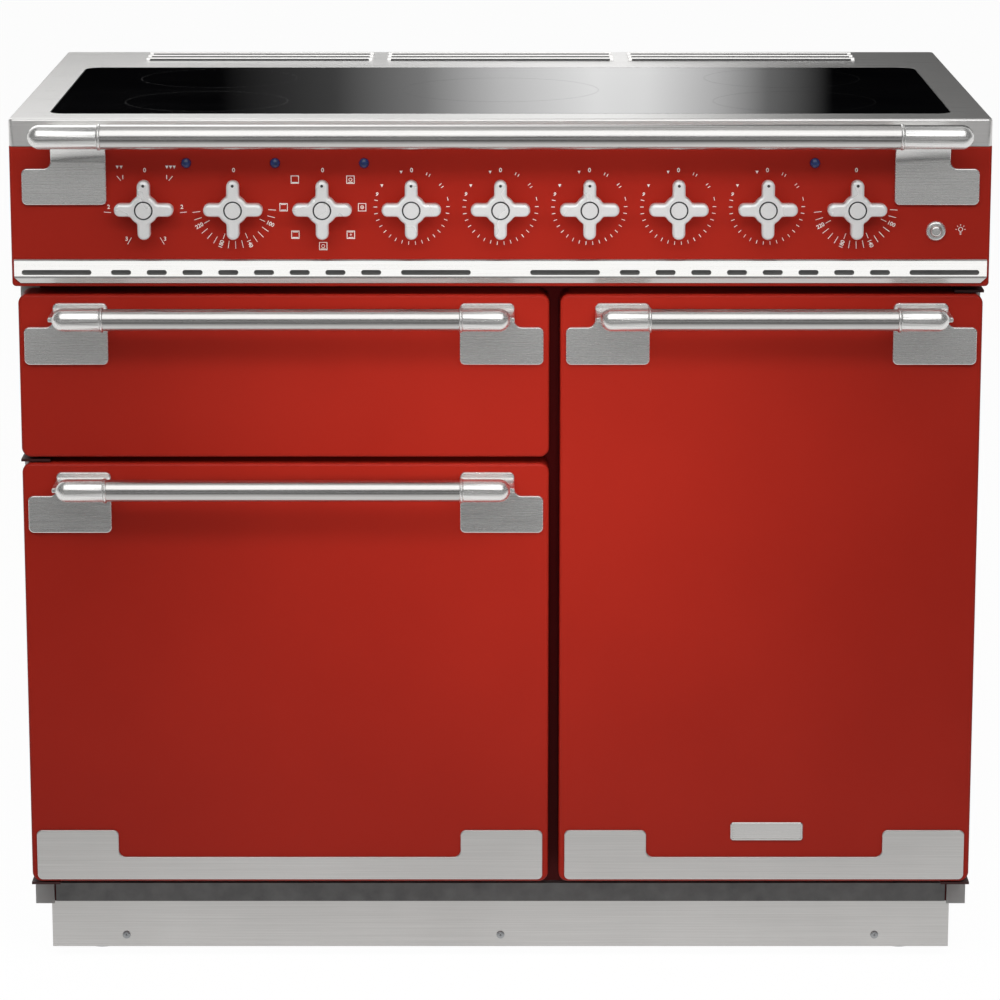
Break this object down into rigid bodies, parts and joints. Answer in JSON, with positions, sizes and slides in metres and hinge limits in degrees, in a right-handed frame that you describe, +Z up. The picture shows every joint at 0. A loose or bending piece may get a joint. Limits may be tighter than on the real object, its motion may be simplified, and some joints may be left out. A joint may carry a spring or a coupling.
{
  "type": "induction range cooker",
  "caption": "Free-standing induction range cooker with red enamel doors, a steel hob surround, cross-shaped knobs, towel-rail handles and three separate oven and grill cavities.",
  "frame": {"origin": "on the floor, below the middle of the whole outline", "axes": "+X is the cooker's right as seen from the front, -Y is the front, +Z is up"},
  "size_m": [0.994, 0.6682, 0.913],
  "materials": {
    "red_enamel": "gloss",
    "brushed_steel": "brushed",
    "polished_steel": "satin",
    "satin_nickel": "satin",
    "zinc_sheet": "matte",
    "grey_paint": "satin",
    "black_glass": "gloss",
    "dark_enamel": "gloss",
    "bright_wire": "polished",
    "grey_rubber": "matte",
    "black_rubber": "matte",
    "black_plastic": "matte",
    "white_plastic": "matte",
    "blue_lens": "gloss",
    "copper_winding": "satin",
    "heater_steel": "matte"
  },
  "bodies": {
    "cooker": {"base_tray": "zinc_sheet", "side_panels": "grey_paint", "front_frame": "dark_enamel", "back_panel": "zinc_sheet", "terminal_box": "white_plastic", "hob_trim": "brushed_steel", "hob_glass": "black_glass", "hob_tray": "zinc_sheet", "induction_coils": "copper_winding", "power_units": "black_plastic", "control_panel": "red_enamel", "indicator_lamps": "blue_lens", "light_button_bezel": "satin_nickel", "control_switches": "white_plastic", "vent_strip": "polished_steel", "rail_brackets": "polished_steel", "rail_tube": "polished_steel", "main_oven_cavity": "dark_enamel", "tall_oven_cavity": "dark_enamel", "grill_cavity": "dark_enamel", "door_seals": "grey_rubber", "door_hinges": "zinc_sheet", "shelf_ladders": "bright_wire", "fan_covers": "dark_enamel", "fan_motors": "zinc_sheet", "oven_shelves": "bright_wire", "grill_element": "heater_steel", "grill_pan": "dark_enamel", "plinth": "brushed_steel", "roller_forks": "zinc_sheet"},
    "main_door": {"main_door_panel": "red_enamel", "main_door_liner": "dark_enamel", "main_handle_brackets": "polished_steel", "main_handle_tube": "polished_steel", "main_kick_trim": "polished_steel"},
    "tall_door": {"tall_door_panel": "red_enamel", "tall_door_liner": "dark_enamel", "tall_handle_brackets": "polished_steel", "tall_handle_tube": "polished_steel", "tall_kick_trim": "polished_steel"},
    "grill_door": {"grill_door_panel": "red_enamel", "grill_door_liner": "dark_enamel", "grill_handle_brackets": "polished_steel", "grill_handle_tube": "polished_steel"},
    "grill_knob": {"grill_knob": "satin_nickel"},
    "main_oven_heat_knob": {"main_oven_heat_knob": "satin_nickel"},
    "main_oven_mode_knob": {"main_oven_mode_knob": "satin_nickel"},
    "hob_knob_1": {"hob_knob_1": "satin_nickel"},
    "hob_knob_2": {"hob_knob_2": "satin_nickel"},
    "hob_knob_3": {"hob_knob_3": "satin_nickel"},
    "hob_knob_4": {"hob_knob_4": "satin_nickel"},
    "hob_knob_5": {"hob_knob_5": "satin_nickel"},
    "tall_oven_heat_knob": {"tall_oven_heat_knob": "satin_nickel"},
    "light_button": {"light_button": "satin_nickel"},
    "main_oven_fan": {"main_oven_fan": "bright_wire"},
    "tall_oven_fan": {"tall_oven_fan": "bright_wire"},
    "levelling_foot_left": {"levelling_foot_left": "zinc_sheet"},
    "levelling_foot_right": {"levelling_foot_right": "zinc_sheet"},
    "roller_left": {"roller_left": "black_rubber"},
    "roller_right": {"roller_right": "black_rubber"}
  },
  "joints": [
    {"name": "main_door_hinge", "type": "hinge", "parent": "cooker", "child": "main_door", "pos_m": [-0.479, -0.24385, 0.32675], "axis": [0, 0, -1], "range_deg": [0, 100]},
    {"name": "tall_door_hinge", "type": "hinge", "parent": "cooker", "child": "tall_door", "pos_m": [0.479, -0.24385, 0.415], "axis": [0, 0, 1], "range_deg": [0, 100]},
    {"name": "grill_door_hinge", "type": "hinge", "parent": "cooker", "child": "grill_door", "pos_m": [-0.2215, -0.24685, 0.5654], "axis": [1, 0, 0], "range_deg": [0, 90]},
    {"name": "grill_knob_turn", "type": "hinge", "parent": "cooker", "child": "grill_knob", "pos_m": [-0.36, -0.26585, 0.82], "axis": [0, 1, 0], "range_deg": [-150, 150]},
    {"name": "main_oven_heat_knob_turn", "type": "hinge", "parent": "cooker", "child": "main_oven_heat_knob", "pos_m": [-0.27, -0.26585, 0.82], "axis": [0, 1, 0], "range_deg": [0, 280]},
    {"name": "main_oven_mode_knob_turn", "type": "hinge", "parent": "cooker", "child": "main_oven_mode_knob", "pos_m": [-0.18, -0.26585, 0.82], "axis": [0, 1, 0], "range_deg": [0, 315]},
    {"name": "hob_knob_1_turn", "type": "hinge", "parent": "cooker", "child": "hob_knob_1", "pos_m": [-0.09, -0.26585, 0.82], "axis": [0, 1, 0], "range_deg": [0, 295]},
    {"name": "hob_knob_2_turn", "type": "hinge", "parent": "cooker", "child": "hob_knob_2", "pos_m": [0, -0.26585, 0.82], "axis": [0, 1, 0], "range_deg": [0, 295]},
    {"name": "hob_knob_3_turn", "type": "hinge", "parent": "cooker", "child": "hob_knob_3", "pos_m": [0.09, -0.26585, 0.82], "axis": [0, 1, 0], "range_deg": [0, 295]},
    {"name": "hob_knob_4_turn", "type": "hinge", "parent": "cooker", "child": "hob_knob_4", "pos_m": [0.18, -0.26585, 0.82], "axis": [0, 1, 0], "range_deg": [0, 295]},
    {"name": "hob_knob_5_turn", "type": "hinge", "parent": "cooker", "child": "hob_knob_5", "pos_m": [0.27, -0.26585, 0.82], "axis": [0, 1, 0], "range_deg": [0, 295]},
    {"name": "tall_oven_heat_knob_turn", "type": "hinge", "parent": "cooker", "child": "tall_oven_heat_knob", "pos_m": [0.36, -0.26585, 0.82], "axis": [0, 1, 0], "range_deg": [0, 280]},
    {"name": "light_button_press", "type": "slide", "parent": "cooker", "child": "light_button", "axis": [0, 1, 0], "range_m": [0, 0.003], "stiffness_N_per_m": 300},
    {"name": "main_oven_fan_spin", "type": "hinge", "parent": "cooker", "child": "main_oven_fan", "pos_m": [-0.2215, 0.21715, 0.316], "axis": [0, 1, 0], "continuous": true},
    {"name": "tall_oven_fan_spin", "type": "hinge", "parent": "cooker", "child": "tall_oven_fan", "pos_m": [0.277, 0.21715, 0.414], "axis": [0, 1, 0], "continuous": true},
    {"name": "levelling_foot_left_turn", "type": "hinge", "parent": "cooker", "child": "levelling_foot_left", "pos_m": [-0.43, -0.14585, 0], "axis": [0, 0, 1], "continuous": true},
    {"name": "levelling_foot_right_turn", "type": "hinge", "parent": "cooker", "child": "levelling_foot_right", "pos_m": [0.43, -0.14585, 0], "axis": [0, 0, 1], "continuous": true},
    {"name": "roller_left_spin", "type": "hinge", "parent": "cooker", "child": "roller_left", "pos_m": [-0.43, 0.26415, 0.025], "axis": [1, 0, 0], "continuous": true},
    {"name": "roller_right_spin", "type": "hinge", "parent": "cooker", "child": "roller_right", "pos_m": [0.43, 0.26415, 0.025], "axis": [1, 0, 0], "continuous": true}
  ]
}
